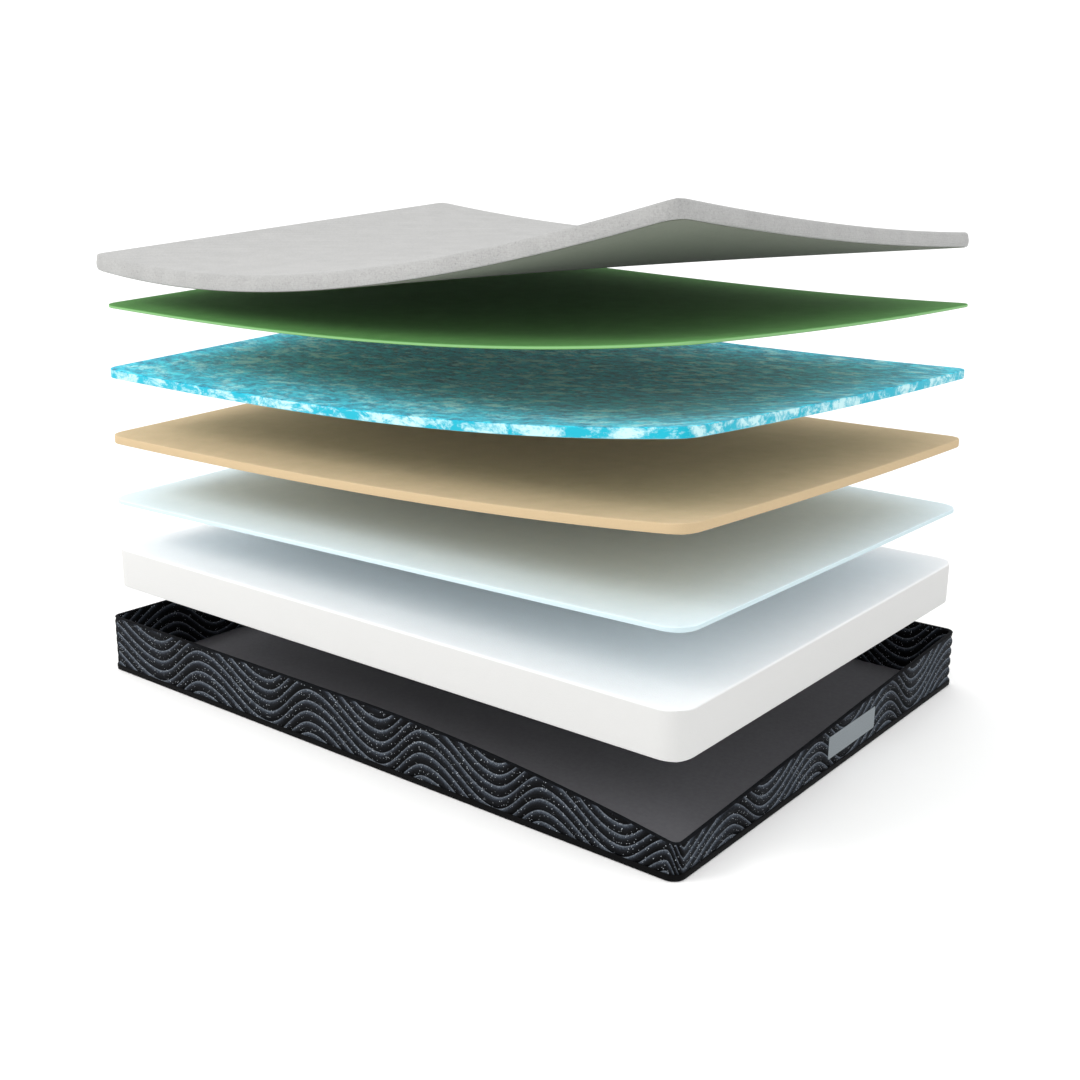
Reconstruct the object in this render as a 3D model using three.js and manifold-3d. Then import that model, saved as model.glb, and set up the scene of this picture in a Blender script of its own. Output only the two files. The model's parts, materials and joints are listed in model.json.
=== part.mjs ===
// A memory foam mattress lifted apart into its layers. A tray of quilted border cloth stands on the ground.
// Five foam layers and the padded top cover hang above it, in the order in which they stack in the tray.
// X is the length, from the head at -X to the foot at +X. Y is the width, from the front at -Y to the back.
// The origin is the middle of the tray's underside, and +Z is up. Every size is in millimetres.
import * as THREE from "three";
import { mergeVertices } from "three/addons/utils/BufferGeometryUtils.js";
import Module from "manifold-3d";

const wasm = await Module();
wasm.setup();

// Overall sizes, over the border cloth.
const mattressLength = 2032;
const mattressWidth = 1524;
const plyGap = 0.3; // clearance between plies that touch

// The tray's border: a face knit and a lining with quilting foam between them.
const trayCornerRadius = 45;
const borderHeight = 168; // from the ground to the top of the border, where it stands full
const borderSlump = 82; // how much lower the limp border stands at the front foot corner
const slumpLength = 1000; // how far the slump reaches along the front from that corner
const faceKnit = 1;
const quiltFoam = 7;
const liningCloth = 0.8;
const bottomCloth = 3;
const tapeThickness = 1.5;

// The piping sewn round the foot of the border.
const pipingBulge = 4.5;
const pipingLow = 1;
const pipingHeight = 16;

// The label sewn to the foot end of the border.
const labelWidth = 270;
const labelHeight = 62;
const labelThickness = 0.8;
const labelMiddleY = 80;

// The foam layers, from the bottom up. The lists of four run front head, front foot, back foot, back head.
// thickness: of the layer. radius: of its corners. fit: from its edge to the border's lining.
// lift: free height under each corner, down to the layer below. sag: how far each edge hangs below the
// straight line between its corners, for the edges front, foot, back, head. lean: how far the front and the
// back edge's low point leans towards the head.
const foamLayers = [
  {
    name: "base_support_foam",
    thickness: 120,
    radius: 62,
    fit: 4.6,
    lift: [98, 98, 98, 98],
    sag: [0, 0, 0, 0],
    lean: [0, 0],
    colour: 0xefefef,
  },
  {
    name: "transition_foam",
    thickness: 12,
    radius: 62,
    fit: 6.6,
    lift: [135, 174, 152, 186],
    sag: [0, 0, 0, 0],
    lean: [0, 0],
    colour: 0xd5e2e5,
  },
  {
    name: "comfort_foam",
    thickness: 24,
    radius: 55,
    fit: 10.6,
    lift: [168, 202, 180, 184],
    sag: [26, 7, 15, 0],
    lean: [30, 0],
    colour: 0xc4b393,
  },
  {
    name: "gel_memory_foam",
    thickness: 25,
    radius: 45,
    fit: 15.6,
    lift: [168, 176, 172, 193],
    sag: [41, 8, 20, 0],
    lean: [50, 0],
    colour: 0x1fb5c9,
  },
  {
    name: "green_memory_foam",
    thickness: 8,
    radius: 45,
    fit: 21.6,
    lift: [175, 161, 175, 174],
    sag: [43, 8, 11, 0],
    lean: [45, 50],
    colour: 0x5e9a56,
  },
];

// The top cover: a knit face turned down round a fibre and foam quilting, with a backing cloth under it.
// drawnIn: how far lifting and bending draw each corner in, along X and Y.
const cover = {
  thickness: 42,
  radius: 45,
  lift: [99, 236, 151, 126],
  sag: [98, 17, 60, 0],
  lean: [-60, 0],
  drawnIn: [
    [14, 16],
    [-60, 6],
    [-56, -8],
    [-4, -14],
  ],
};
const coverKnit = 2;
const coverBacking = 3;

// How finely curves are cut.
const cornerSteps = 4; // along each corner of the border, an even number
const sideSteps = [14, 10]; // along the border's long and short sides
const cornerCells = 3; // along each rounded corner of a sheet
const sheetCells = [10, 7]; // along a sheet's length and width, between its corners

const frontFoot = { x: mattressLength / 2, y: -mattressWidth / 2 };

// The height of the border's top edge over a point of its outline.
function borderTop(point) {
  const along = Math.max(0, 1 - (frontFoot.x - point.x) / slumpLength);
  const across = 1 - (point.y - frontFoot.y) / mattressWidth;
  return borderHeight - tapeThickness - plyGap - borderSlump * along ** 2 * across;
}

// One side of the tray's outline, from the middle of one corner to the middle of the next, at a depth inside
// the border's face. Sides 0 to 3 are the front, the foot, the back and the head.
function traySide(side, inset) {
  const corners = [
    [-1, -1],
    [1, -1],
    [1, 1],
    [-1, 1],
  ];
  const centre = ([x, y]) =>
    new THREE.Vector2(
      x * (mattressLength / 2 - trayCornerRadius),
      y * (mattressWidth / 2 - trayCornerRadius),
    );
  const start = centre(corners[side]);
  const end = centre(corners[(side + 1) % 4]);
  const outward = ((side - 1) * Math.PI) / 2;
  const spoke = (angle) =>
    new THREE.Vector2(Math.cos(angle), Math.sin(angle)).multiplyScalar(trayCornerRadius - inset);
  const steps = sideSteps[side % 2];
  const half = cornerSteps / 2;
  const turn = Math.PI / 4 / half;
  const points = [];
  for (let i = half; i > 0; i--) points.push(spoke(outward - i * turn).add(start));
  for (let i = 0; i <= steps; i++) points.push(start.clone().lerp(end, i / steps).add(spoke(outward)));
  for (let i = 1; i <= half; i++) points.push(spoke(outward + i * turn).add(end));
  return points;
}

// The tray's whole outline. The last point of each side is the first of the next.
function trayOutline(inset) {
  return [0, 1, 2, 3].flatMap((side) => traySide(side, inset).slice(0, -1));
}

// Moves every vertex of a geometry to the place that a function gives for it.
function reshape(geometry, place) {
  const position = geometry.getAttribute("position");
  const uv = geometry.getAttribute("uv");
  const at = new THREE.Vector3();
  for (let i = 0; i < position.count; i++) {
    const { x, y, z } = place(at.fromBufferAttribute(position, i), uv.getX(i), uv.getY(i));
    position.setXYZ(i, x, y, z);
  }
  geometry.computeVertexNormals();
  return geometry;
}

// A closed band round the tray, between two depths inside its face. low and high give the heights of its
// edges over a point of the outer outline.
function bandGeometry(outerInset, innerInset, low, high) {
  const face = trayOutline(0);
  const outer = trayOutline(outerInset);
  const inner = trayOutline(innerInset);
  const section = [
    [outer, low],
    [outer, high],
    [inner, high],
    [inner, low],
  ];
  const ring = new THREE.TorusGeometry(2, 1, section.length, face.length);
  return reshape(ring, (_, round, about) => {
    const step = Math.round(round * face.length) % face.length;
    const [outline, height] = section[Math.round(about * section.length) % section.length];
    return { x: outline[step].x, y: outline[step].y, z: height(face[step]) };
  });
}

// One side of the quilting foam inside the border, mitred at the middles of its two corners.
function quiltSideGeometry(side) {
  const outerInset = faceKnit + plyGap;
  const outer = traySide(side, outerInset);
  const inner = traySide(side, outerInset + quiltFoam);
  const face = traySide(side, 0);
  const last = face.length - 1;
  const box = new THREE.BoxGeometry(1, 1, 1, last, 1, 1);
  const mitre = plyGap / 2;
  return reshape(box, (at) => {
    const step = Math.round((at.x + 0.5) * last);
    const point = (at.y < 0 ? outer : inner)[step].clone();
    const towards = (at.y < 0 ? outer : inner)[step === 0 ? 1 : last - 1];
    if (step === 0 || step === last) point.add(towards.clone().sub(point).setLength(mitre));
    return { x: point.x, y: point.y, z: at.z < 0 ? bottomCloth + plyGap : borderTop(face[step]) };
  });
}

// The underside of a hanging layer, over u from head to foot and v from front to back: its four edges are
// curves, and the surface between them blends the opposite edges.
function undersideOf(corners, sag, lean) {
  const [headFront, footFront, footBack, headBack] = corners;
  const edge = (from, to, drop, tilt) => (t) =>
    from + (to - from) * t - t * (1 - t) * (4 * drop + tilt * (2 * t - 1));
  const front = edge(headFront, footFront, sag[0], lean[0]);
  const foot = edge(footFront, footBack, sag[1], 0);
  const back = edge(headBack, footBack, sag[2], lean[1]);
  const head = edge(headFront, headBack, sag[3], 0);
  return (u, v) => {
    const alongLength = (1 - v) * front(u) + v * back(u);
    const alongWidth = (1 - u) * head(v) + u * foot(v);
    const flat =
      (1 - v) * ((1 - u) * headFront + u * footFront) + v * ((1 - u) * headBack + u * footBack);
    return alongLength + alongWidth - flat;
  };
}

// The places of a sheet's grid lines along one side: close together in its corners, even between them.
function gridLines(halfSide, radius, cells) {
  const straight = halfSide - radius;
  const lines = [];
  for (let i = 0; i < cornerCells; i++) lines.push(-halfSide + (radius * i) / cornerCells);
  for (let i = 0; i <= cells; i++) lines.push(-straight + (2 * straight * i) / cells);
  for (let i = 1; i <= cornerCells; i++) lines.push(straight + (radius * i) / cornerCells);
  return lines;
}

// Bends the square corner of a grid onto a round one.
function roundCorner(x, y, halfLength, halfWidth, radius) {
  const a = Math.max(0, (Math.abs(x) - halfLength) / radius + 1);
  const b = Math.max(0, (Math.abs(y) - halfWidth) / radius + 1);
  if (a === 0 || b === 0) return [x, y];
  return [
    Math.sign(x) * (halfLength - radius + radius * a * Math.sqrt(1 - (b * b) / 2)),
    Math.sign(y) * (halfWidth - radius + radius * b * Math.sqrt(1 - (a * a) / 2)),
  ];
}

// A sheet with rounded corners that follows an underside. It lies between two heights above the underside,
// with its edge at a depth inside the layer's outline.
function sheetGeometry(layer, inset, low, high) {
  const halfLength = layer.halfLength - inset;
  const halfWidth = layer.halfWidth - inset;
  const radius = layer.radius - inset;
  const xLines = gridLines(halfLength, radius, sheetCells[0]);
  const yLines = gridLines(halfWidth, radius, sheetCells[1]);
  const [xCells, yCells] = [xLines.length - 1, yLines.length - 1];
  const box = new THREE.BoxGeometry(1, 1, 1, xCells, yCells, 1);
  return reshape(box, (at) => {
    const line = [Math.round((at.x + 0.5) * xCells), Math.round((at.y + 0.5) * yCells)];
    const [x, y] = roundCorner(xLines[line[0]], yLines[line[1]], halfLength, halfWidth, radius);
    const u = (x / layer.halfLength + 1) / 2;
    const v = (y / layer.halfWidth + 1) / 2;
    const [pullX, pullY] = cornerPull(layer.drawnIn, u, v);
    return { x: x + pullX, y: y + pullY, z: layer.underside(u, v) + (at.z < 0 ? low : high) };
  });
}

// How far a point of a sheet moves when its corners are drawn in.
function cornerPull(drawnIn, u, v) {
  const share = [(1 - u) * (1 - v), u * (1 - v), u * v, (1 - u) * v];
  return [0, 1].map((axis) => drawnIn.reduce((sum, corner, i) => sum + share[i] * corner[axis], 0));
}

// A closed geometry as a manifold solid, and back.
function toSolid(geometry) {
  const bare = geometry.clone();
  bare.deleteAttribute("normal");
  bare.deleteAttribute("uv");
  const merged = mergeVertices(bare);
  const vertProperties = merged.getAttribute("position").array;
  const triVerts = new Uint32Array(merged.index.array);
  return new wasm.Manifold(new wasm.Mesh({ numProp: 3, vertProperties, triVerts }));
}

function toGeometry(solid) {
  const { vertProperties, triVerts } = solid.getMesh();
  const geometry = new THREE.BufferGeometry();
  geometry.setAttribute("position", new THREE.BufferAttribute(vertProperties, 3));
  geometry.setIndex(new THREE.BufferAttribute(triVerts, 1));
  geometry.computeVertexNormals();
  return geometry;
}

// The cover's knit: the top and the turned-down sides in one cloth, open below.
function coverKnitGeometry(layer) {
  const whole = toSolid(sheetGeometry(layer, 0, 0, layer.thickness));
  const openBelow = -coverKnit;
  const hollow = toSolid(sheetGeometry(layer, coverKnit, openBelow, layer.thickness - coverKnit));
  return toGeometry(whole.subtract(hollow));
}

function addMesh(group, name, geometry, colour, roughness) {
  const material = new THREE.MeshStandardMaterial({ color: colour, roughness, metalness: 0 });
  const mesh = new THREE.Mesh(geometry, material);
  mesh.name = name;
  group.add(mesh);
  return mesh;
}

// The tray: the bottom cloth, and the border that stands on its edge.
function makeTray() {
  const tray = new THREE.Group();
  const black = 0x1b1c20;
  const onBottom = () => bottomCloth + plyGap;
  const quiltInset = faceKnit + plyGap;
  const liningInset = quiltInset + quiltFoam + plyGap;
  const bottomShape = new THREE.Shape(trayOutline(0));
  const bottom = new THREE.ExtrudeGeometry(bottomShape, { depth: bottomCloth, bevelEnabled: false });
  addMesh(tray, "bottom_cloth", bottom, 0x3a3a3c, 0.95);
  addMesh(tray, "border_face_knit", bandGeometry(0, faceKnit, onBottom, borderTop), black, 0.85);
  ["front", "foot", "back", "head"].forEach((name, side) => {
    addMesh(tray, `border_quilt_foam_${name}`, quiltSideGeometry(side), 0xe8e4da, 0.95);
  });
  const lining = bandGeometry(liningInset, liningInset + liningCloth, onBottom, borderTop);
  addMesh(tray, "border_lining", lining, black, 0.9);
  const underTape = (point) => borderTop(point) + plyGap;
  const overTape = (point) => underTape(point) + tapeThickness;
  const tape = bandGeometry(0, liningInset + liningCloth, underTape, overTape);
  addMesh(tray, "border_top_tape", tape, 0x101114, 0.8);
  const pipingTop = () => pipingLow + pipingHeight;
  const piping = bandGeometry(-plyGap - pipingBulge, -plyGap, () => pipingLow, pipingTop);
  addMesh(tray, "bottom_piping", piping, 0x0c0c0e, 0.6);
  return tray;
}

// The label: a plain woven patch on the outside of the border's foot end, halfway between the piping and the
// lowest stretch of border above it.
function makeLabel() {
  const group = new THREE.Group();
  const patch = new THREE.BoxGeometry(labelThickness, labelWidth, labelHeight);
  const label = addMesh(group, "woven_label", patch, 0x9aa5a8, 0.7);
  const lowestBorder = borderTop({ x: mattressLength / 2, y: labelMiddleY - labelWidth / 2 });
  const labelMiddleZ = (pipingLow + pipingHeight + lowestBorder) / 2;
  label.position.set(mattressLength / 2 + plyGap + labelThickness / 2, labelMiddleY, labelMiddleZ);
  return group;
}

// The foam layers, each hung above the one below it. heights holds the four corner heights of the last one.
function makeFoams(heights) {
  const group = new THREE.Group();
  const liningFace = faceKnit + quiltFoam + liningCloth + 2 * plyGap;
  for (const foam of foamLayers) {
    const corners = heights.map((height, i) => height + foam.lift[i]);
    const layer = {
      halfLength: mattressLength / 2 - liningFace - foam.fit,
      halfWidth: mattressWidth / 2 - liningFace - foam.fit,
      radius: foam.radius,
      drawnIn: [[0, 0]],
      underside: undersideOf(corners, foam.sag, foam.lean),
    };
    addMesh(group, foam.name, sheetGeometry(layer, 0, 0, foam.thickness), foam.colour, 0.95);
    corners.forEach((height, i) => (heights[i] = height + foam.thickness));
  }
  return group;
}

// The cover: the knit, the quilting inside it and the backing cloth that closes it below.
function makeCover(heights) {
  const group = new THREE.Group();
  const corners = heights.map((height, i) => height + cover.lift[i]);
  const layer = {
    halfLength: mattressLength / 2,
    halfWidth: mattressWidth / 2,
    radius: cover.radius,
    thickness: cover.thickness,
    drawnIn: cover.drawnIn,
    underside: undersideOf(corners, cover.sag, cover.lean),
  };
  const inside = coverKnit + plyGap;
  const fillTop = cover.thickness - inside;
  const fill = sheetGeometry(layer, inside, coverBacking + plyGap, fillTop);
  addMesh(group, "cover_knit", coverKnitGeometry(layer), 0xd4d4d2, 0.9);
  addMesh(group, "cover_quilt_fill", fill, 0xf2f2ee, 0.95);
  addMesh(group, "cover_backing", sheetGeometry(layer, inside, 0, coverBacking), 0x8c938c, 0.9);
  return group;
}

const mattress = new THREE.Group();
const cornerHeights = Array(4).fill(borderHeight);
mattress.add(makeTray(), makeLabel(), makeFoams(cornerHeights), makeCover(cornerHeights));

export default mattress;
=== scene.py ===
# %% [markdown]
# # A memory foam mattress, lifted apart
# The mattress is a tray of quilted border cloth that holds a stack of foam layers under a padded knit cover.
# Here the layers hang apart, so that each one can be seen. The frame holds their real sizes and places, and
# this script adds the looks: fine surfaces, puffed quilting, cloth, foam and light.

# %% Load the frame
import json
import math

import bpy
import numpy as np
from mathutils import Matrix, Vector


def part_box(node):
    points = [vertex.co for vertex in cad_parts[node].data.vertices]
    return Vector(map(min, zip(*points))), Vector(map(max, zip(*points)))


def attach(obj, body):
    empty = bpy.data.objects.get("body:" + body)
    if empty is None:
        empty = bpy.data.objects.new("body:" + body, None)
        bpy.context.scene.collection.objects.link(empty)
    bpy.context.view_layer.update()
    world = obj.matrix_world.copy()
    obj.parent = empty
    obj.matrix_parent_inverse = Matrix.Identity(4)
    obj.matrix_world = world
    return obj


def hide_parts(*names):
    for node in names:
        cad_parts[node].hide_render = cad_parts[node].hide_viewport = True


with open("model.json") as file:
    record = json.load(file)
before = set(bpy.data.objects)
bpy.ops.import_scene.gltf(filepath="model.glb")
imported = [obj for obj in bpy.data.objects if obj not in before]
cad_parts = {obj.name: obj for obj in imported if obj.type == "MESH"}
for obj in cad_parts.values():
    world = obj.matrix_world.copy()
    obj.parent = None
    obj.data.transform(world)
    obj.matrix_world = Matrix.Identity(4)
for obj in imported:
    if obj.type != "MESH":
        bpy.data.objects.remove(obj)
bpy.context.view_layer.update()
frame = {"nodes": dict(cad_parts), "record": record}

for name in ("Cube", "Light", "Camera"):
    if name in bpy.data.objects:
        bpy.data.objects.remove(bpy.data.objects[name])

# %% [markdown]
# ## Camera
# The mattress is seen from a little above, over its front foot corner. The camera stands at eye height,
# nearly four metres from the middle. A camera can be aimed by an angle for each turn, or by building its
# axes. The axes are built here, because the aim is then one line each for forward, right and up.

# %% Camera
YAW = math.radians(-38.14)
PITCH_DOWN = math.radians(15.7)
ROLL = math.radians(0.57)
EYE = Vector((2.3912, -3.0041, 1.5056))
LENS_MM = 45.0
SENSOR_MM = 36.0

forward = Vector(
    (math.cos(PITCH_DOWN) * math.sin(YAW), math.cos(PITCH_DOWN) * math.cos(YAW), -math.sin(PITCH_DOWN))
)
level_right = Vector((math.cos(YAW), -math.sin(YAW), 0))
level_up = level_right.cross(forward)
right = level_right * math.cos(ROLL) + level_up * math.sin(ROLL)
up = level_up * math.cos(ROLL) - level_right * math.sin(ROLL)
camera_data = bpy.data.cameras.new("camera")
camera_data.lens = LENS_MM
camera_data.sensor_width = SENSOR_MM
camera_data.clip_end = 200
camera = bpy.data.objects.new("camera", camera_data)
bpy.context.scene.collection.objects.link(camera)
camera.matrix_world = Matrix.Translation(EYE) @ Matrix((right, up, -forward)).transposed().to_4x4()
bpy.context.scene.camera = camera
print("the camera looks", [round(v, 2) for v in forward])

# %% [markdown]
# ## Light and floor
# The object stands in a white studio. An even white sky gives the soft shading between the layers, because
# each layer hides part of the sky from the one below it. One large soft lamp stands high at the front left.
# It is weak beside the sky, and only leaves the foot end a little darker than the front.


# %% Light and floor
def linear(hex_colour):
    """An sRGB hex colour as the linear values that the shaders take, with full opacity."""
    parts = [int(hex_colour[i : i + 2], 16) / 255 for i in (1, 3, 5)]
    return tuple(p / 12.92 if p <= 0.04045 else ((p + 0.055) / 1.055) ** 2.4 for p in parts) + (1.0,)


def soft_lamp(name, place, aim, size, watts, colour):
    """A square area lamp at a place, turned to an aim."""
    data = bpy.data.lights.new(name, "AREA")
    data.shape = "SQUARE"
    data.size = size
    data.energy = watts
    data.color = linear(colour)[:3]
    lamp = bpy.data.objects.new(name, data)
    lamp.location = place
    lamp.rotation_mode = "QUATERNION"
    lamp.rotation_quaternion = (Vector(aim) - Vector(place)).to_track_quat("-Z", "Y")
    bpy.context.scene.collection.objects.link(lamp)


MIDDLE = (0, 0, 0.7)
KEY_PLACE = (-2.4, -4.2, 3.9)
KEY_SIZE = 2.2
KEY_WATTS = 110
SKY_STRENGTH = 1.3
soft_lamp("key_lamp", KEY_PLACE, MIDDLE, KEY_SIZE, KEY_WATTS, "#FFFDFA")

world = bpy.data.worlds.new("white_studio")
world.use_nodes = True
world.node_tree.nodes["Background"].inputs["Color"].default_value = linear("#FFFFFF")
world.node_tree.nodes["Background"].inputs["Strength"].default_value = SKY_STRENGTH
bpy.context.scene.world = world
bpy.context.scene.view_settings.view_transform = "Standard"

FLOOR_REACH = 60.0
FLOOR_DROP = 0.0005
floor_mesh = bpy.data.meshes.new("floor")
floor_mesh.from_pydata(
    [(x * FLOOR_REACH, y * FLOOR_REACH, -FLOOR_DROP) for x, y in ((-1, -1), (1, -1), (1, 1), (-1, 1))],
    [],
    [(0, 1, 2, 3)],
)
floor = bpy.data.objects.new("floor", floor_mesh)
bpy.context.scene.collection.objects.link(floor)
print("1 lamp and a white sky")

# %% [markdown]
# ## Helpers for materials and meshes
# Every material is built from nodes. One helper adds a node, sets it and links it, so a material reads as a
# list of what it is made of. Patterns use object coordinates, which are metres on the real mattress, so a
# pattern's scale is one over its real size.


# %% Helpers
def new_material(name):
    """A new material, its node tree and its shader."""
    material = bpy.data.materials.new(name)
    material.use_nodes = True
    return material, material.node_tree, material.node_tree.nodes["Principled BSDF"]


def node(tree, kind, inputs=None, **settings):
    """Adds a node. inputs are sockets to link or values to set."""
    made = tree.nodes.new(kind)
    for key, value in settings.items():
        setattr(made, key, value)
    for key, value in (inputs or {}).items():
        if isinstance(value, bpy.types.NodeSocket):
            tree.links.new(value, made.inputs[key])
        else:
            made.inputs[key].default_value = value
    return made


def colour_steps(tree, factor, steps):
    """A colour ramp over a factor, from pairs of place and hex colour."""
    made = node(tree, "ShaderNodeValToRGB", {"Fac": factor})
    elements = made.color_ramp.elements
    while len(elements) < len(steps):
        elements.new(0.5)
    for element, (place, colour) in zip(elements, steps):
        element.position = place
        element.color = linear(colour)
    return made.outputs["Color"]


def per_mm(size):
    """The scale of a pattern whose features are that many millimetres."""
    return 1000.0 / size


def mesh_object(name, points, faces, body, material):
    """A smooth mesh piece that rides on a body."""
    mesh = bpy.data.meshes.new(name)
    mesh.from_pydata([tuple(p) for p in points], [], faces)
    mesh.validate()
    mesh.polygons.foreach_set("use_smooth", [True] * len(mesh.polygons))
    mesh.materials.append(material)
    piece = bpy.data.objects.new(name, mesh)
    bpy.context.scene.collection.objects.link(piece)
    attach(piece, body)
    return piece


floor_material, tree, shader = new_material("matt_white_paint")
shader.inputs["Base Color"].default_value = linear("#FDFDFD")
shader.inputs["Roughness"].default_value = 0.9
floor.data.materials.append(floor_material)
print("helpers ready")

# %% [markdown]
# ## Smooth sheets from the frame's solids
# The frame holds each layer as a coarse solid, right in size and bend but faceted. A layer could be smoothed
# with a subdivision modifier, but that shrinks its corners. Here the bend is measured instead: a smooth
# surface is fitted to the solid's top and to its underside, and a finer sheet with rounded edges is built on
# those two surfaces. The sheet's corners are where the solid's corners are.


# %% Measure a sheet
FIT_POWERS = [(i, j) for i in range(5) for j in range(4)]  # of x and y
FACES_THAT_WAY = 0.7  # how far a face's normal must point up or down to count


def fitted_surface(cad_node, facing):
    """The height of a CAD sheet's top (facing 1) or underside (facing -1) as a smooth function of x and y."""
    mesh = frame["nodes"][cad_node].data
    seen = {i for face in mesh.polygons if face.normal.z * facing > FACES_THAT_WAY for i in face.vertices}
    points = np.array([mesh.vertices[i].co for i in sorted(seen)])

    def terms(x, y):
        return np.stack([np.asarray(x) ** i * np.asarray(y) ** j for i, j in FIT_POWERS], axis=-1)

    basis = terms(points[:, 0], points[:, 1])
    weights = np.linalg.lstsq(basis, points[:, 2], rcond=None)[0]
    worst = np.abs(basis @ weights - points[:, 2]).max()
    print(f"{cad_node} {'top' if facing > 0 else 'underside'} fitted within {worst * 1000:.2f} mm")
    return lambda x, y: terms(x, y) @ weights


def sheet_corners(cad_node, radius):
    """A CAD sheet's corners in plan, before rounding: head front, foot front, foot back, head back."""
    points = np.array([v.co for v in frame["nodes"][cad_node].data.vertices])[:, :2]
    corners = []
    for direction in ((-1, -1), (1, -1), (1, 1), (-1, 1)):
        tip = points[np.argmax(points @ np.array(direction))]
        corners.append(tip + np.array(direction) * radius * (1 - math.sqrt(0.5)))
    return np.array(corners)


# %% Build a sheet
EDGE_STEPS = 4  # rows round each rounded edge
FLAT_BANDS = 3  # rows of faces up a straight side
BULGED_BANDS = 6


def grid_lines(half_side, radius, edge, cell):
    """Places of a grid's lines along a side: fine over the rounded edge and corner, even between."""
    turns = np.linspace(0, math.pi / 2, EDGE_STEPS + 1)
    over_edge = edge * (1 - np.cos(turns))
    over_corner = np.linspace(edge, radius, max(4, round((radius - edge) / (cell / 2))) + 1)[1:]
    start = np.concatenate([over_edge, over_corner]) - half_side
    middle = np.linspace(radius - half_side, half_side - radius, round((half_side - radius) * 2 / cell) + 1)
    return np.concatenate([start, middle[1:-1], -start[::-1]])


def round_corners(x, y, half_length, half_width, radius):
    """Bends a grid's square corners onto round ones."""
    a = np.clip((np.abs(x) - half_length) / radius + 1, 0, 1)
    b = np.clip((np.abs(y) - half_width) / radius + 1, 0, 1)
    inside = (a > 0) & (b > 0)
    round_x = np.sign(x) * (half_length - radius + radius * a * np.sqrt(1 - b * b / 2))
    round_y = np.sign(y) * (half_width - radius + radius * b * np.sqrt(1 - a * a / 2))
    return np.where(inside, round_x, x), np.where(inside, round_y, y)


def side_loop(columns, rows):
    """The indices round the edge of a grid, anticlockwise."""
    front = [i * rows for i in range(columns - 1)]
    foot = [(columns - 1) * rows + j for j in range(rows - 1)]
    back = [i * rows + rows - 1 for i in range(columns - 1, 0, -1)]
    head = [j for j in range(rows - 1, 0, -1)]
    return front + foot + back + head


def sheet_mesh(corners, radius, top, underside, top_edge, low_edge, cell, bulge=0.0):
    """A closed sheet between two surfaces, with rounded edges and sides that may bulge: points and faces."""
    half_length = np.linalg.norm(corners[1] - corners[0] + corners[2] - corners[3]) / 4
    half_width = np.linalg.norm(corners[3] - corners[0] + corners[2] - corners[1]) / 4

    def in_plan(x, y):
        u, v = (x / half_length + 1) / 2, (y / half_width + 1) / 2
        shares = [(1 - u) * (1 - v), u * (1 - v), u * v, (1 - u) * v]
        return sum(share[..., None] * corner for share, corner in zip(shares, corners))

    layers = []
    for edge, surface, sign in ((top_edge, top, 1), (low_edge, underside, -1)):
        x_lines = grid_lines(half_length, radius, edge, cell)
        y_lines = grid_lines(half_width, radius, edge, cell)
        i, j = np.meshgrid(range(len(x_lines)), range(len(y_lines)), indexing="ij")
        x, y = round_corners(x_lines[i], y_lines[j], half_length, half_width, radius)
        plan = in_plan(x, y)
        level = np.minimum(np.minimum(i, len(x_lines) - 1 - i), np.minimum(j, len(y_lines) - 1 - j))
        turn = np.clip(level / EDGE_STEPS, 0, 1) * math.pi / 2
        z = surface(plan[..., 0], plan[..., 1]) - sign * edge * (1 - np.sin(turn))
        layers.append(np.concatenate([plan, z[..., None]], axis=-1).reshape(-1, 3))
        shape = i.shape
    columns, rows = shape
    loop = side_loop(columns, rows)
    upper, lower = layers[0][loop], layers[1][loop]
    ahead = np.roll(upper, -1, axis=0) - np.roll(upper, 1, axis=0)
    outward = np.stack([ahead[:, 1], -ahead[:, 0], np.zeros(len(loop))], axis=-1)
    outward /= np.linalg.norm(outward, axis=1)[:, None]
    bands = BULGED_BANDS if bulge else FLAT_BANDS
    shares = [k / bands for k in range(1, bands)]
    rings = [lower + (upper - lower) * s + outward * bulge * 4 * s * (1 - s) for s in shares]
    points = np.concatenate([*layers, *rings])

    def quad(i, j):
        return (i * rows + j, (i + 1) * rows + j, (i + 1) * rows + j + 1, i * rows + j + 1)

    count = columns * rows
    faces = [quad(i, j) for i in range(columns - 1) for j in range(rows - 1)]
    faces += [tuple(k + count for k in reversed(face)) for face in faces]
    ring_starts = [2 * count + k * len(loop) for k in range(len(rings))]
    levels = [[k + count for k in loop]]
    levels += [list(range(start, start + len(loop))) for start in ring_starts]
    levels += [loop]
    for below, above in zip(levels, levels[1:]):
        for k in range(len(loop)):
            after = (k + 1) % len(loop)
            faces.append((below[k], below[after], above[after], above[k]))
    return points, faces


print("sheet builder ready")

# %% [markdown]
# ## Foam
# Polyurethane foam is poured as one big block and sawn into sheets by a band blade. The cut opens the
# cells, so the surface is matt, soft and a little velvety, with no gloss at all. The cells are about half a
# millimetre wide, too fine to see from here. They are drawn a few millimetres wide and very shallow, and
# the saw's long, faint waves are added over them. The cut edges get a tone of their own, a drawing choice of
# painted light and shade that keeps each thin layer's edge readable against the next one: painted shade,
# darker than the faces, on the white, pale blue and tan layers, and a painted highlight on the green one.


# %% Foam material
CELL_MM = 3.0  # real cells are about 0.5 mm
SAW_WAVE_MM = 90.0
MOTTLE_MM = 55


def upright_share(tree):
    """1 on a sheet's upright cut edges and 0 on its flat faces."""
    facing = node(tree, "ShaderNodeNewGeometry").outputs["Normal"]
    level = node(tree, "ShaderNodeSeparateXYZ", {"Vector": facing}).outputs["Z"]
    flat = node(tree, "ShaderNodeMath", {0: level}, operation="ABSOLUTE").outputs[0]
    return colour_steps(tree, flat, [(0.3, "#FFFFFF"), (0.8, "#000000")])


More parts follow.
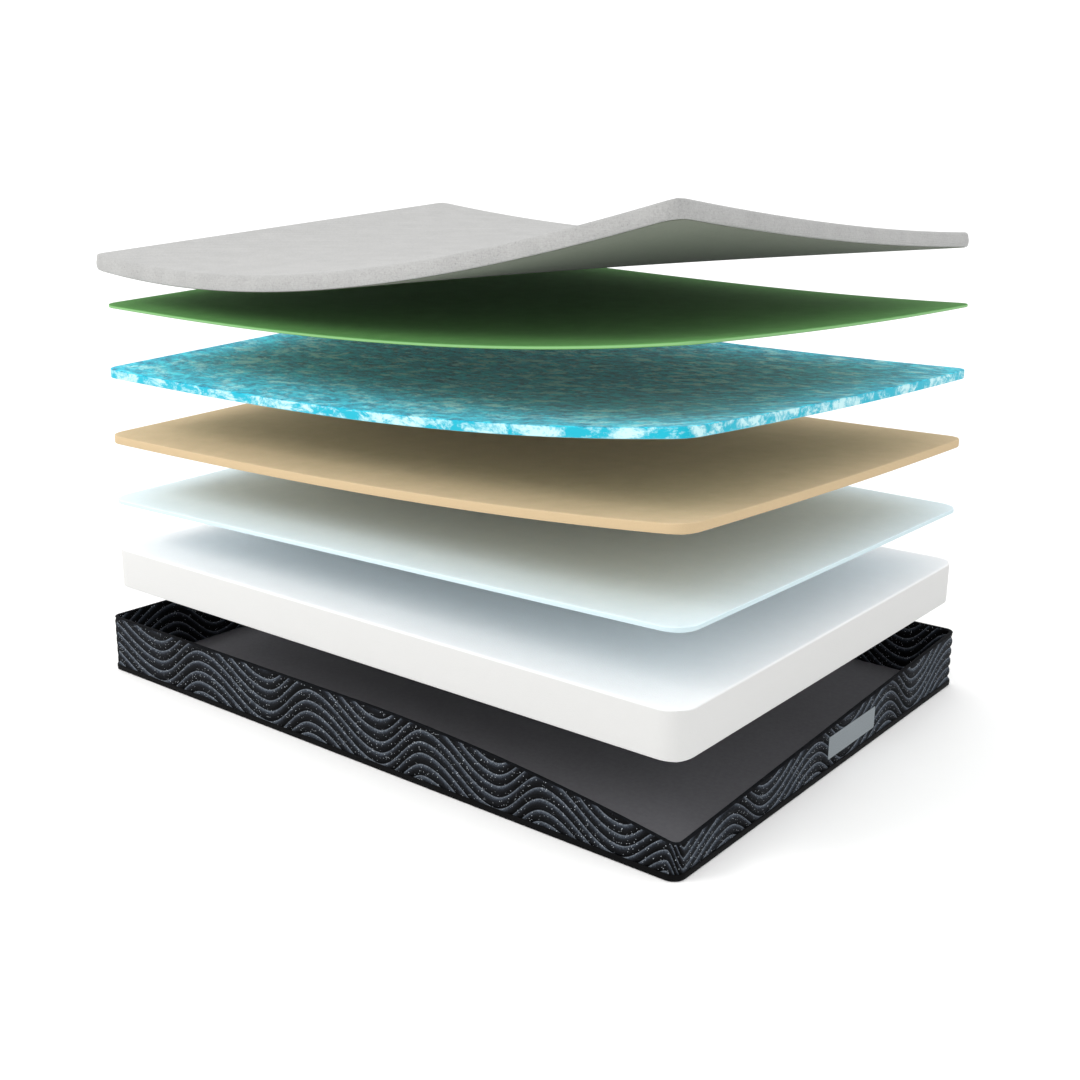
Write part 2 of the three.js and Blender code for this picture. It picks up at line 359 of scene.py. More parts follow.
def sawn_foam(name, pale, deep, painted_edge_tone, sheen):
    """Open-cell foam. pale and deep are its lightest and darkest tones; its upright edges get a tone of their
    own, painted light and shade.
    """
    material, tree, shader = new_material(name)
    place = node(tree, "ShaderNodeTexCoord").outputs["Object"]
    cells = node(
        tree, "ShaderNodeTexVoronoi", {"Vector": place, "Scale": per_mm(CELL_MM)}, feature="SMOOTH_F1"
    )
    mottle = node(
        tree,
        "ShaderNodeTexNoise",
        {"Vector": place, "Scale": per_mm(MOTTLE_MM), "Detail": 5.0, "Roughness": 0.6},
    )
    saw = node(
        tree, "ShaderNodeTexNoise", {"Vector": place, "Scale": per_mm(SAW_WAVE_MM), "Detail": 2.0}
    )
    tone = colour_steps(tree, mottle.outputs["Fac"], [(0.3, deep), (0.7, pale)])
    grain = node(
        tree,
        "ShaderNodeMix",
        {"Factor": 0.06, "A": tone, "B": cells.outputs["Color"]},
        data_type="RGBA",
        blend_type="SOFT_LIGHT",
    )
    # painted light and shade: the upright cut edges take their own tone, darker on most layers, lighter on
    # the green
    cut = node(
        tree,
        "ShaderNodeMix",
        {"Factor": upright_share(tree), "A": grain.outputs["Result"], "B": linear(painted_edge_tone)},
        data_type="RGBA",
    )
    tree.links.new(cut.outputs["Result"], shader.inputs["Base Color"])
    waves = node(
        tree, "ShaderNodeBump", {"Height": saw.outputs["Fac"], "Strength": 0.25, "Distance": 0.004}
    )
    pores = node(
        tree,
        "ShaderNodeBump",
        {
            "Height": cells.outputs["Distance"],
            "Strength": 0.35,
            "Distance": 0.0012,
            "Normal": waves.outputs["Normal"],
        },
    )
    tree.links.new(pores.outputs["Normal"], shader.inputs["Normal"])
    shader.inputs["Roughness"].default_value = 0.95
    shader.inputs["Specular IOR Level"].default_value = 0.15
    shader.inputs["Sheen Weight"].default_value = 0.05
    shader.inputs["Sheen Roughness"].default_value = 0.6
    shader.inputs["Sheen Tint"].default_value = linear(sheen)
    return material


# %% [markdown]
# ## Gel-swirl foam
# For this layer a cyan gel is stirred into white foam before it sets. The gel runs in drawn-out clouds with
# wisps of bare foam between them, and the saw cuts straight through the swirls, so the edges show the same
# clouds as the top. Two sizes of noise are layered: clouds of bare foam about 70 mm wide, and ragged tones
# in the gel about 30 mm wide. Two things here are drawing choices and not facts about the foam. The cut
# edge is given a little more white and tones of its own, which are painted light. The hidden underside is
# given hardly any cyan, so that its reflected light doesn't tint the tan foam below.


# %% Gel-swirl foam material
BARE_CLOUD_MM = 70
GEL_TONE_MM = 30
EDGE_PAINTED_LIGHT = 0.05  # how much more white a cut edge gets, as painted light
FACES_DOWN = -0.8  # a face whose normal points lower than this is on the underside


def gel_swirl_foam():
    """White foam marbled with cyan gel."""
    material, tree, shader = new_material("gel_swirl_memory_foam")
    place = node(tree, "ShaderNodeTexCoord").outputs["Object"]
    drawn_out = node(
        tree, "ShaderNodeMapping", {"Vector": place, "Rotation": (0, 0, 0.6), "Scale": (0.8, 1.15, 1.6)}
    ).outputs["Vector"]
    clouds = node(
        tree,
        "ShaderNodeTexNoise",
        {
            "Vector": drawn_out,
            "Scale": per_mm(BARE_CLOUD_MM),
            "Detail": 12.0,
            "Roughness": 0.76,
            "Distortion": 0.3,
        },
    )
    tones = node(
        tree,
        "ShaderNodeTexNoise",
        {
            "Vector": drawn_out,
            "Scale": per_mm(GEL_TONE_MM),
            "Detail": 8.0,
            "Roughness": 0.75,
            "Distortion": 0.5,
        },
    )
    gel = colour_steps(
        tree, tones.outputs["Fac"], [(0.38, "#007A9C"), (0.5, "#00B6D6"), (0.6, "#38E0F6")]
    )
    upright = upright_share(tree)
    # painted light: the upright cut edges show a little more white
    extra = node(tree, "ShaderNodeMath", {0: upright, 1: EDGE_PAINTED_LIGHT}, operation="MULTIPLY").outputs[0]
    share = node(tree, "ShaderNodeMath", {0: clouds.outputs["Fac"], 1: extra}, operation="ADD").outputs[0]
    bare = colour_steps(tree, share, [(0.51, "#000000"), (0.62, "#FFFFFF")])
    marbled = node(
        tree,
        "ShaderNodeMix",
        {"Factor": bare, "A": gel, "B": linear("#A4E9F2")},
        data_type="RGBA",
    )
    # painted light: the cut edges' own gel and white tones
    painted_edge_tone = node(
        tree,
        "ShaderNodeMix",
        {"Factor": bare, "A": linear("#14A4BA"), "B": linear("#B6DADD")},
        data_type="RGBA",
    )
    facing = node(tree, "ShaderNodeNewGeometry").outputs["Normal"]
    level = node(tree, "ShaderNodeSeparateXYZ", {"Vector": facing}).outputs["Z"]
    below = node(tree, "ShaderNodeMath", {0: level, 1: FACES_DOWN}, operation="LESS_THAN").outputs[0]
    hidden_side = node(
        tree,
        "ShaderNodeMix",
        {"Factor": bare, "A": linear("#A8C4C0"), "B": linear("#CFC9BE")},
        data_type="RGBA",
    )
    faces = node(
        tree,
        "ShaderNodeMix",
        {"Factor": below, "A": marbled.outputs["Result"], "B": hidden_side.outputs["Result"]},
        data_type="RGBA",
    )
    whole = node(
        tree,
        "ShaderNodeMix",
        {"Factor": upright, "A": faces.outputs["Result"], "B": painted_edge_tone.outputs["Result"]},
        data_type="RGBA",
    )
    tree.links.new(whole.outputs["Result"], shader.inputs["Base Color"])
    cells = node(
        tree, "ShaderNodeTexVoronoi", {"Vector": place, "Scale": per_mm(CELL_MM)}, feature="SMOOTH_F1"
    )
    pores = node(
        tree, "ShaderNodeBump", {"Height": cells.outputs["Distance"], "Strength": 0.3, "Distance": 0.0012}
    )
    tree.links.new(pores.outputs["Normal"], shader.inputs["Normal"])
    shader.inputs["Roughness"].default_value = 0.9
    shader.inputs["Specular IOR Level"].default_value = 0.2
    shader.inputs["Sheen Weight"].default_value = 0.15
    return material


# %% Make the foam layers
FOAM_CELL = 0.03  # grid spacing; the bends are metres long
# the third colour of each foam is its cut edges' painted light and shade
# each layer's material, plan corner radius, edge rounding and slot
foam_looks = {
    "base_support_foam": (
        sawn_foam("white_support_foam", "#E9E9E9", "#E7E7E7", "#C6C6C5", "#FFFFFF"),
        0.062, 0.007, "base_foam",
    ),
    "transition_foam": (
        sawn_foam("pale_blue_transition_foam", "#D9EAF2", "#D5E7EF", "#BFD1D6", "#FFFFFF"),
        0.062, 0.003, "transition_foam",
    ),
    "comfort_foam": (
        sawn_foam("tan_comfort_foam", "#C9B290", "#C1AB89", "#BBA583", "#FFF2DC"),
        0.055, 0.005, "comfort_foam",
    ),
    "gel_memory_foam": (gel_swirl_foam(), 0.045, 0.003, "gel_foam"),
    "green_memory_foam": (
        sawn_foam("green_infused_memory_foam", "#578F4C", "#4F8645", "#7BA971", "#C8F0B4"),
        0.045, 0.003, "green_foam",
    ),
}
body_of = {n: body for body, names in frame["record"]["behaviour"]["bodies"].items() for n in names}
for cad_node, (material, radius, edge, slot) in foam_looks.items():
    points, faces = sheet_mesh(
        sheet_corners(cad_node, radius), radius,
        fitted_surface(cad_node, 1), fitted_surface(cad_node, -1), edge, edge, FOAM_CELL,
    )
    layer = mesh_object(f"sawn_{cad_node}", points, faces, body_of[cad_node], material)
    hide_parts(cad_node)
    print(layer.name, len(faces), "faces")

# %% [markdown]
# ## The padded top cover
# The cover is a thick stretch knit, quilted to fibre and foam and turned down at the sides, with a plain
# backing cloth underneath. Knit this fine reads as a soft, heathered grey: pale yarn with darker fibres mixed
# in. Its loops are just over a millimetre wide. They are drawn four times as wide, as crossing soft ribs, so
# that the weave still shows.


# %% Cover knit material
RIB_MM = 5.0  # real loops are about 1.2 mm
HEATHER_MM = 5.0
PATCH_MM = 70
BACKING_FIBRE_MM = 9
WAVE_REPEAT = math.pi / 10  # a wave texture of scale 1 repeats after this many metres


def heathered_knit():
    """Thick light grey jersey with darker fibres spun into the yarn."""
    material, tree, shader = new_material("heathered_grey_stretch_knit")
    place = node(tree, "ShaderNodeTexCoord").outputs["Object"]
    fibres = node(
        tree,
        "ShaderNodeTexNoise",
        {"Vector": place, "Scale": per_mm(HEATHER_MM), "Detail": 7.0, "Roughness": 0.8, "Distortion": 0.4},
    )
    patches = node(
        tree,
        "ShaderNodeTexNoise",
        {"Vector": place, "Scale": per_mm(PATCH_MM), "Detail": 3.0, "Roughness": 0.5},
    )
    yarn = colour_steps(
        tree, fibres.outputs["Fac"], [(0.28, "#737372"), (0.44, "#9A9A99"), (0.62, "#A6A6A5")]
    )
    cloudy = colour_steps(tree, patches.outputs["Fac"], [(0.3, "#F4F4F4"), (0.7, "#FFFFFF")])
    tone = node(
        tree,
        "ShaderNodeMix",
        {"Factor": 1.0, "A": yarn, "B": cloudy},
        data_type="RGBA",
        blend_type="MULTIPLY",
    )
    tree.links.new(tone.outputs["Result"], shader.inputs["Base Color"])
    ribs = [
        node(
            tree,
            "ShaderNodeTexWave",
            {
                "Vector": place,
                "Scale": WAVE_REPEAT * per_mm(RIB_MM),
                "Distortion": 1.2,
                "Detail": 2.0,
            },
            bands_direction=way,
        ).outputs["Fac"]
        for way in ("X", "Y", "Z")
    ]
    two = node(tree, "ShaderNodeMath", {0: ribs[0], 1: ribs[1]}, operation="MULTIPLY").outputs[0]
    three = node(tree, "ShaderNodeMath", {0: two, 1: ribs[2]}, operation="ADD").outputs[0]
    height = node(tree, "ShaderNodeMath", {0: three, 1: fibres.outputs["Fac"]}, operation="ADD").outputs[0]
    weave = node(tree, "ShaderNodeBump", {"Height": height, "Strength": 0.3, "Distance": 0.0015})
    tree.links.new(weave.outputs["Normal"], shader.inputs["Normal"])
    shader.inputs["Roughness"].default_value = 0.92
    shader.inputs["Specular IOR Level"].default_value = 0.2
    shader.inputs["Sheen Weight"].default_value = 0.25
    shader.inputs["Sheen Roughness"].default_value = 0.5
    return material


def backing_cloth():
    """Bonded fibre backing, thin and matt, in a grey with a green tint that is painted reflection of the
    green foam below.
    """
    material, tree, shader = new_material("bonded_fibre_backing")
    place = node(tree, "ShaderNodeTexCoord").outputs["Object"]
    fibres = node(
        tree,
        "ShaderNodeTexNoise",
        {
            "Vector": place,
            "Scale": per_mm(BACKING_FIBRE_MM),
            "Detail": 8.0,
            "Roughness": 0.75,
            "Distortion": 1.5,
        },
    )
    # painted reflection: the grey is tinted green as if lit by the green foam below
    tone = colour_steps(tree, fibres.outputs["Fac"], [(0.3, "#5C6255"), (0.7, "#6A7061")])
    tree.links.new(tone, shader.inputs["Base Color"])
    bump = node(tree, "ShaderNodeBump", {"Height": fibres.outputs["Fac"], "Strength": 0.3, "Distance": 0.001})
    tree.links.new(bump.outputs["Normal"], shader.inputs["Normal"])
    shader.inputs["Roughness"].default_value = 0.95
    shader.inputs["Sheen Weight"].default_value = 0.1
    return material


# %% Make the cover
COVER_RADIUS = 0.045
COVER_TOP_EDGE = 0.015
COVER_LOW_EDGE = 0.003
COVER_BULGE = 0.002
COVER_CELL = 0.02
cover_top = fitted_surface("cover_knit", 1)
cover_underside = fitted_surface("cover_backing", -1)
cover_corners = sheet_corners("cover_knit", COVER_RADIUS)
BACKING_THICK = 0.0012
BACKING_GAP = 0.0004
BACKING_SHARE = 0.994  # the backing stops a little inside the cover's edge
BACKING_CELL = 0.03


def above_backing(x, y):
    """The height of the padding's underside, just above the backing cloth."""
    return cover_underside(x, y) + BACKING_THICK + BACKING_GAP


points, faces = sheet_mesh(
    cover_corners, COVER_RADIUS, cover_top, above_backing,
    COVER_TOP_EDGE, COVER_LOW_EDGE, COVER_CELL, COVER_BULGE,
)
cover = mesh_object("padded_knit_cover", points, faces, "top_cover", heathered_knit())
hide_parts("cover_knit", "cover_quilt_fill")

middle = cover_corners.mean(axis=0)
inward = middle + (cover_corners - middle) * BACKING_SHARE
points, faces = sheet_mesh(
    inward, COVER_RADIUS, lambda x, y: cover_underside(x, y) + BACKING_THICK, cover_underside,
    BACKING_THICK / 3, BACKING_THICK / 3, BACKING_CELL,
)
backing = mesh_object("bonded_cover_backing", points, faces, "top_cover", backing_cloth())
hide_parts("cover_backing")
print("cover ready")

# %% [markdown]
# ## The quilted border
# The border is a black stretch knit, quilted through a thin foam to a lining. Stitching pulls the knit down
# along wavy lines and the foam pushes it out between them. The waves lean: they climb quickly and fall
# slowly, and each wall's waves mirror those of the wall next to it. Bump alone would give flat edges and
# a flat outline, so the channels are real geometry: one fine mesh whose points move in and out by a formula.

# %% Border sizes
face_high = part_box("border_face_knit")[1]
tape_low, tape_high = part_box("border_top_tape")
floor_cloth_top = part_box("bottom_cloth")[1].z
HALF_LENGTH, HALF_WIDTH = face_high.x, face_high.y
CAD_CORNER = 0.045
CORNER = 0.030  # a little sharper than the frame's coarse corner
FULL_HEIGHT = tape_high.z
TAPE_THICK = 0.0015
SLUMP = tape_high.z - tape_low.z - TAPE_THICK
SLUMP_LENGTH = 1.0
CHANNEL = 0.031  # height of one channel where the border stands full
CHANNEL_DEPTH = 0.010
WAVE = 0.106  # from a wave's trough to its crest
CLIMB = 0.4  # the share of a wave that climbs
SQUEEZE = 0.6  # the channels' share of their height that stays however low the border is
PUFF = 2.6  # the higher, the sharper the crease at a stitch line
LENGTH_WAVES = (1.33, 2.40, 0.27)  # turns at the middle, turns a metre, and how they crowd to the foot
WIDTH_WAVES = (1.29, 2.37)  # turns at the middle and turns a metre


def border_height(x, y):
    """The height of the border's top over a point of its outline. It slumps at the front foot corner."""
    along = np.clip(1 - (HALF_LENGTH - x) / SLUMP_LENGTH, 0, 1)
    across = 1 - (y + HALF_WIDTH) / (2 * HALF_WIDTH)
    return FULL_HEIGHT - SLUMP * along**2 * across


def leaning_wave(turns, climb):
    """A wave from 0 at its crests, at whole turns, to -1. The climb is the share before a crest."""
    part = turns - np.floor(turns)
    falling = part < 1 - climb
    swing = np.where(falling, part / (1 - climb) / 2, 0.5 + (part - (1 - climb)) / climb / 2)
    return (np.cos(2 * math.pi * swing) - 1) / 2


def wave_at(x, y, foot_share):
    """The wave's height at a point of the outline. The long walls' waves give way to the end walls'."""
    along_length = leaning_wave(LENGTH_WAVES[0] + LENGTH_WAVES[1] * x + LENGTH_WAVES[2] * x * x, CLIMB)
    along_width = leaning_wave(WIDTH_WAVES[0] + WIDTH_WAVES[1] * y, 1 - CLIMB)
    return WAVE * (along_length * (1 - foot_share) + along_width * foot_share)


def channel_count(x, y, z, foot_share):
    """How many channels lie below a point of the border. It is whole on every stitch line."""
    squeeze = SQUEEZE + (1 - SQUEEZE) * border_height(x, y) / FULL_HEIGHT
    return (z / squeeze - wave_at(x, y, foot_share)) / CHANNEL


def channel_depth(x, y, z, foot_share):
    """How far the stitching pulls the knit in at a height: 0 on top of a channel, 1 at a stitch line."""
    count = channel_count(x, y, z, foot_share)
    return np.abs(2 * (count - np.floor(count)) - 1) ** PUFF


# %% The border's outline
COLUMN = 0.0065  # distance between the mesh's columns
CORNER_COLUMNS = 18


def border_outline():
    """Points of the outline, their outward directions and how much each belongs to the head or foot end."""
    centres = [(-1, -1), (1, -1), (1, 1), (-1, 1)]
    rows = []
    for side in range(4):
        (ax, ay), (bx, by) = centres[side], centres[(side + 1) % 4]
        start = np.array([ax * (HALF_LENGTH - CORNER), ay * (HALF_WIDTH - CORNER)])
        end = np.array([bx * (HALF_LENGTH - CORNER), by * (HALF_WIDTH - CORNER)])
        angle = (side - 1) * math.pi / 2
        outward = np.array([math.cos(angle), math.sin(angle)])
        steps = round(np.linalg.norm(end - start) / COLUMN)
        foot = side % 2
        for k in range(steps):
            rows.append((*(start + (end - start) * k / steps), *outward, foot))
        for k in range(CORNER_COLUMNS):
            turn = k / CORNER_COLUMNS
            way = angle + turn * math.pi / 2
            share = turn * turn * (3 - 2 * turn)
            rows.append((*end, math.cos(way), math.sin(way), foot + (1 - 2 * foot) * share))
    table = np.array(rows)
    table[:, 0:2] += table[:, 2:4] * CORNER
    return table


outline = border_outline()
print(len(outline), "columns round the border")


# %% Build a band round the border
def band(name, loop, material):
    """A closed band on the tray. loop gives each column's insets from the face and heights."""
    x, y, out_x, out_y, foot = outline.T
    insets, heights = loop(x, y, foot)
    points = np.stack(
        [x[:, None] - out_x[:, None] * insets, y[:, None] - out_y[:, None] * insets, heights], axis=-1
    )
    columns, rows = insets.shape
    faces = []
    for i in range(columns):
        after = (i + 1) % columns
        for j in range(rows):
            above = (j + 1) % rows
            faces.append((i * rows + j, after * rows + j, after * rows + above, i * rows + above))
    return mesh_object(name, points.reshape(-1, 3), faces, "tray", material)


FACE_ROWS = 80
LINING_ROWS = 34
KNIT_THICK = 0.0055
LINING_FROM = 0.0059
LINING_TO = 0.0094
LINING_DEPTH = 0.0028
BINDING_HEIGHT = 0.003
BINDING_INSET = 0.0047
BINDING_HALF = 0.0055
CLOTH_GAP = 0.0003
PROUD = 0.0018  # how far a channel's crown stands out past the CAD's face
END_ROUNDING = 0.003
ENDS = 14  # each end's rounding takes up one part in this many of the height
STITCHED_DOWN = 0.35  # how much of the pull remains at the very ends
BACK_TOP = 0.98  # the knit's flat back stops a little below its rounded top
SQUARENESS = 0.6  # below 1 a section is squarer than an ellipse
LABEL_BED = 0.0006  # how far in the knit lies under the label
LABEL_FADE = 0.01  # the quilting comes back over this distance
BAND_LOW = floor_cloth_top + CLOTH_GAP
label_low, label_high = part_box("woven_label")


def under_label(y, z, foot):
    """1 where the label is sewn down and flattens the quilting, 0 a little way off it."""
    off_y = np.maximum(label_low.y - y, y - label_high.y)
    off_z = np.maximum(label_low.z - z, z - label_high.z)
    return np.clip(1 - np.maximum(off_y, off_z) / LABEL_FADE, 0, 1) * (foot == 1)


def knit_loop(x, y, foot):
    """The knit: up the puffed outer face, over a rounded top and down a flat back."""
    top = border_height(x, y) - BINDING_HEIGHT - CLOTH_GAP
    share = np.linspace(0, 1, FACE_ROWS)[None, :]
    z = BAND_LOW + (top[:, None] - BAND_LOW) * share
    pull = CHANNEL_DEPTH / 2 * channel_depth(x[:, None], y[:, None], z, foot[:, None])
    ends = np.minimum(1, (1 - share) * ENDS) * np.minimum(1, share * ENDS)
    inset = -PROUD + pull * (STITCHED_DOWN + (1 - STITCHED_DOWN) * ends) + END_ROUNDING * (1 - ends)
    flattened = under_label(y[:, None], z, foot[:, None]) * (x[:, None] > 0)
    inset = inset + (LABEL_BED - inset) * flattened
    back = np.full((len(x), 3), KNIT_THICK)
    back_z = BAND_LOW + (top[:, None] - BAND_LOW) * np.array([[BACK_TOP, 0.5, 0.0]])
    return np.concatenate([inset, back], axis=1), np.concatenate([z, back_z], axis=1)


def lining_loop(x, y, foot):
    """The lining: up a flat back and down the inside, where the stitching shows faintly."""
    top = border_height(x, y) - BINDING_HEIGHT - CLOTH_GAP
    share = np.linspace(1, 0, LINING_ROWS)[None, :]
    z = BAND_LOW + (top[:, None] - BAND_LOW) * share
    pull = LINING_DEPTH * channel_depth(x[:, None], y[:, None], z, foot[:, None])
    inset = LINING_TO - pull
    back = np.full((len(x), 3), LINING_FROM)
    back_z = BAND_LOW + (top[:, None] - BAND_LOW) * np.array([[0.0, 0.5, 1.0]])
    return np.concatenate([back, inset], axis=1), np.concatenate([back_z, z], axis=1)


def level_at(height):
    """A surface that is level at a height."""
    return lambda x, y: x * 0 + height


def round_loop(middle_inset, half_wide, low, high, steps):
    """A rounded section between two heights, for the binding and the piping."""

    def loop(x, y, foot):
        turns = np.linspace(-math.pi / 2, 1.5 * math.pi, steps, endpoint=False)[None, :]
        base, tip = low(x, y)[:, None], high(x, y)[:, None]
        square = np.sign(np.cos(turns)) * np.abs(np.cos(turns)) ** SQUARENESS
        insets = np.broadcast_to(middle_inset - half_wide * square, (len(x), steps))
        return insets, (base + tip) / 2 + (tip - base) / 2 * np.sin(turns)

    return loop


# %% [markdown]
# ## Border materials
# The face is a fine black polyester knit. Cloth this dark hides its relief, so the channels' shape alone
# reads too faintly. Light and shade are therefore painted into its tone as well: a painted highlight towards
# the upper side of each channel, brightest in a thin line near its top, and painted shade, black, at the
# stitches. That is a choice made for the eye, and the real yarn is one black. The border's mesh stores how
# many channels lie below each point, and the fraction of that number picks the painted tone. Small white
# flecks are scattered at random, about two millimetres across.

# %% Border materials
FLECK_PITCH_MM = 6.5
FLECK_REACH = 0.17  # a fleck's radius as a share of the pitch
FLECK_RARITY = 0.35  # the share of places that stay black
YARN_MM = 4


def flecked_knit():
    """Black polyester knit with white flecks."""
    material, tree, shader = new_material("black_flecked_polyester_knit")
    place = node(tree, "ShaderNodeTexCoord").outputs["Object"]
    spots = node(tree, "ShaderNodeTexVoronoi", {"Vector": place, "Scale": per_mm(FLECK_PITCH_MM)})
    near = node(
        tree, "ShaderNodeMath", {0: spots.outputs["Distance"], 1: FLECK_REACH}, operation="LESS_THAN"
    ).outputs[0]
    chance = node(tree, "ShaderNodeSeparateColor", {"Color": spots.outputs["Color"]}).outputs["Red"]
    bright = node(tree, "ShaderNodeMath", {0: chance, 1: FLECK_RARITY}, operation="GREATER_THAN").outputs[0]
    fleck = node(tree, "ShaderNodeMath", {0: near, 1: bright}, operation="MULTIPLY").outputs[0]
    shade = node(tree, "ShaderNodeMath", {0: fleck, 1: chance}, operation="MULTIPLY").outputs[0]
    yarn = node(
        tree,
        "ShaderNodeTexNoise",
        {"Vector": place, "Scale": per_mm(YARN_MM), "Detail": 5.0, "Roughness": 0.8},
    )
    count = node(tree, "ShaderNodeAttribute", attribute_name="channel_count").outputs["Fac"]
    part = node(tree, "ShaderNodeMath", {0: count}, operation="FRACT").outputs[0]
    # painted light: a painted highlight towards each channel's upper side, a bright painted line near its
    # top, painted black shade at the stitches
    painted_channel_light = colour_steps(
        tree,
        part,
        [
            (0.0, "#010102"),
            (0.14, "#040506"),
            (0.4, "#0D0E11"),
            (0.62, "#202329"),
            (0.8, "#464D57"),
            (0.91, "#7A828C"),
            (0.95, "#0A0B0E"),
            (1.0, "#010102"),
        ],
    )
    strands = colour_steps(tree, yarn.outputs["Fac"], [(0.38, "#7A7A7A"), (0.62, "#FFFFFF")])
    black = node(
        tree,
        "ShaderNodeMix",
        {"Factor": 1.0, "A": painted_channel_light, "B": strands},
        data_type="RGBA",
        blend_type="MULTIPLY",
    ).outputs["Result"]
    tone = node(
        tree, "ShaderNodeMix", {"Factor": shade, "A": black, "B": linear("#C2C9D0")}, data_type="RGBA"
    )
    tree.links.new(tone.outputs["Result"], shader.inputs["Base Color"])
    bump = node(tree, "ShaderNodeBump", {"Height": yarn.outputs["Fac"], "Strength": 0.5, "Distance": 0.002})
    tree.links.new(bump.outputs["Normal"], shader.inputs["Normal"])
    shader.inputs["Roughness"].default_value = 0.75
    shader.inputs["Specular IOR Level"].default_value = 0.08
    shader.inputs["Sheen Weight"].default_value = 0.04
    shader.inputs["Sheen Roughness"].default_value = 0.4
    shader.inputs["Sheen Tint"].default_value = linear("#8FA6C8")
    return material


def plain_cloth(name, deep, pale, thread_mm, roughness, sheen):
    """A plain woven or brushed cloth in two close tones."""
    material, tree, shader = new_material(name)
    place = node(tree, "ShaderNodeTexCoord").outputs["Object"]
    threads = node(
        tree,
        "ShaderNodeTexNoise",
        {"Vector": place, "Scale": per_mm(thread_mm), "Detail": 6.0, "Roughness": 0.7},
    )
    tone = colour_steps(tree, threads.outputs["Fac"], [(0.3, deep), (0.7, pale)])
    tree.links.new(tone, shader.inputs["Base Color"])
    bump = node(
        tree, "ShaderNodeBump", {"Height": threads.outputs["Fac"], "Strength": 0.3, "Distance": 0.001}
    )
    tree.links.new(bump.outputs["Normal"], shader.inputs["Normal"])
    shader.inputs["Roughness"].default_value = roughness
    shader.inputs["Specular IOR Level"].default_value = 0.06
    shader.inputs["Sheen Weight"].default_value = sheen
    return material


binding_cloth = plain_cloth("black_woven_binding", "#08090B", "#14161A", 4, 0.8, 0.0)
piping_cloth = plain_cloth("black_satin_piping_cloth", "#030303", "#08080A", 5, 0.6, 0.0)
bottom_cloth = plain_cloth("dark_grey_brushed_polyester", "#646468", "#6C6C70", 12, 0.95, 0.05)


# %% Make the border
def store_channels(piece, loop):
    """Stores on a quilted band how many channels lie below each point."""
    x, y, foot = outline.T[[0, 1, 4]]
    heights = loop(x, y, foot)[1]
    counts = channel_count(x[:, None], y[:, None], heights, foot[:, None])
    stored = piece.data.attributes.new("channel_count", "FLOAT", "POINT")
    stored.data.foreach_set("value", counts.ravel())


border_cloth = flecked_knit()
knit = band("quilted_border_knit", knit_loop, border_cloth)
store_channels(knit, knit_loop)
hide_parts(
    "border_face_knit", *[f"border_quilt_foam_{side}" for side in ("front", "foot", "back", "head")]
)
lining = band("border_lining_cloth", lining_loop, border_cloth)
store_channels(lining, lining_loop)
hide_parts("border_lining")
binding = band(
    "border_edge_binding",
    round_loop(
        BINDING_INSET, BINDING_HALF, lambda x, y: border_height(x, y) - BINDING_HEIGHT, border_height, 12
    ),
    binding_cloth,
)
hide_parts("border_top_tape")
piping_low, piping_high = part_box("bottom_piping")
PIPING_HALF = (piping_high.x - HALF_LENGTH) / 2
piping = band(
    "bottom_edge_piping",
    round_loop(-PIPING_HALF, PIPING_HALF, level_at(piping_low.z), level_at(piping_high.z), 16),
    piping_cloth,
)
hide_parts("bottom_piping")
print(len(knit.data.polygons), "faces on the quilted knit")

# %% [markdown]
# ## Bottom cloth and label
# The bottom is a plain dark polyester, brushed so that it grips. It lies flat, so it is a thin sheet with the
# tray's outline. The label is a small woven patch, sewn on along its rim. It stays blank.

# %% Bottom cloth
PANEL_EDGE = 0.0008
PANEL_CELL = 0.05
points, faces = sheet_mesh(
    sheet_corners("bottom_cloth", CAD_CORNER), CORNER,
    level_at(floor_cloth_top), level_at(0), PANEL_EDGE, PANEL_EDGE, PANEL_CELL,
)
panel = mesh_object("bottom_cloth_panel", points, faces, "tray", bottom_cloth)
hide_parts("bottom_cloth")

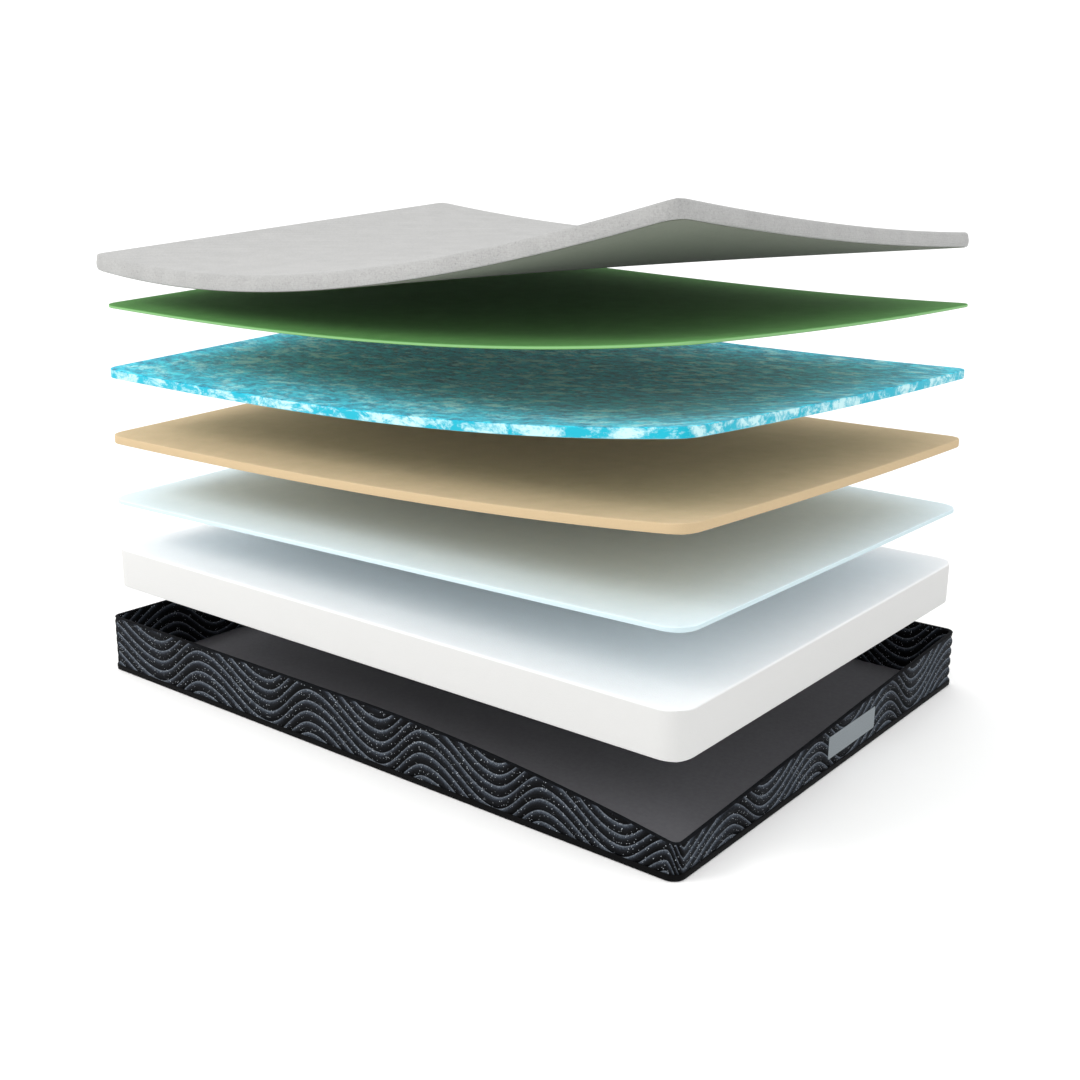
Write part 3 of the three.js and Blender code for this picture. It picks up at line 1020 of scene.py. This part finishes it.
# %% Label
label_cloth = plain_cloth("grey_damask_label", "#646D72", "#777F84", 3, 0.6, 0.3)
label_middle = (label_low + label_high) / 2
label_half = (label_high - label_low) / 2
LABEL_EDGE = 0.0005
LABEL_CORNER = 0.004
LABEL_CELL = 0.012


def rectangle(half_wide, half_high):
    """The corners of a rectangle about its middle, anticlockwise."""
    return [(x * half_wide, y * half_high) for x, y in ((-1, -1), (1, -1), (1, 1), (-1, 1))]


points, faces = sheet_mesh(
    np.array(rectangle(label_half.y, label_half.z)), LABEL_CORNER,
    level_at(label_half.x * 2), level_at(0), LABEL_EDGE, LABEL_EDGE, LABEL_CELL,
)
stand = np.array([label_low.x, label_middle.y, label_middle.z])
points = np.stack([points[:, 2], points[:, 0], points[:, 1]], axis=-1) + stand
label = mesh_object("woven_label_patch", points, faces, "tray", label_cloth)
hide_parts("woven_label")

# %% Label stitching
STITCH_INSET = 0.004
STITCH_STEP = 0.0055
STITCH_LONG = 0.0038
STITCH_WIDE = 0.0011
STITCH_SIDES = 6


def stitch_row():
    """Short stitches round the label, each a rounded thread that dips into the cloth at its ends."""
    corners = rectangle(label_half.y - STITCH_INSET, label_half.z - STITCH_INSET)
    points, faces = [], []
    for start, end in zip(corners, corners[1:] + corners[:1]):
        start, end = Vector((0, *start)), Vector((0, *end))
        along = (end - start).normalized()
        across = along.cross(Vector((1, 0, 0)))
        count = round((end - start).length / STITCH_STEP)
        for k in range(count):
            centre = label_middle + start.lerp(end, (k + 0.5) / count)
            centre.x = label_high.x
            first = len(points)
            points += [centre - along * STITCH_LONG / 2, centre + along * STITCH_LONG / 2]
            for side in range(STITCH_SIDES):
                turn = 2 * math.pi * side / STITCH_SIDES
                ring = across * math.cos(turn) + Vector((math.sin(turn), 0, 0))
                points.append(centre + ring * STITCH_WIDE / 2)
            for side in range(STITCH_SIDES):
                here, after = first + 2 + side, first + 2 + (side + 1) % STITCH_SIDES
                faces += [(first, here, after), (first + 1, after, here)]
    return points, faces


thread = plain_cloth("grey_polyester_sewing_thread", "#8B9499", "#A3ABB0", 1, 0.6, 0.1)
stitching = mesh_object("label_stitching", *stitch_row(), "tray", thread)
print("label and bottom cloth ready,", len(stitching.data.polygons) // (2 * STITCH_SIDES), "stitches")
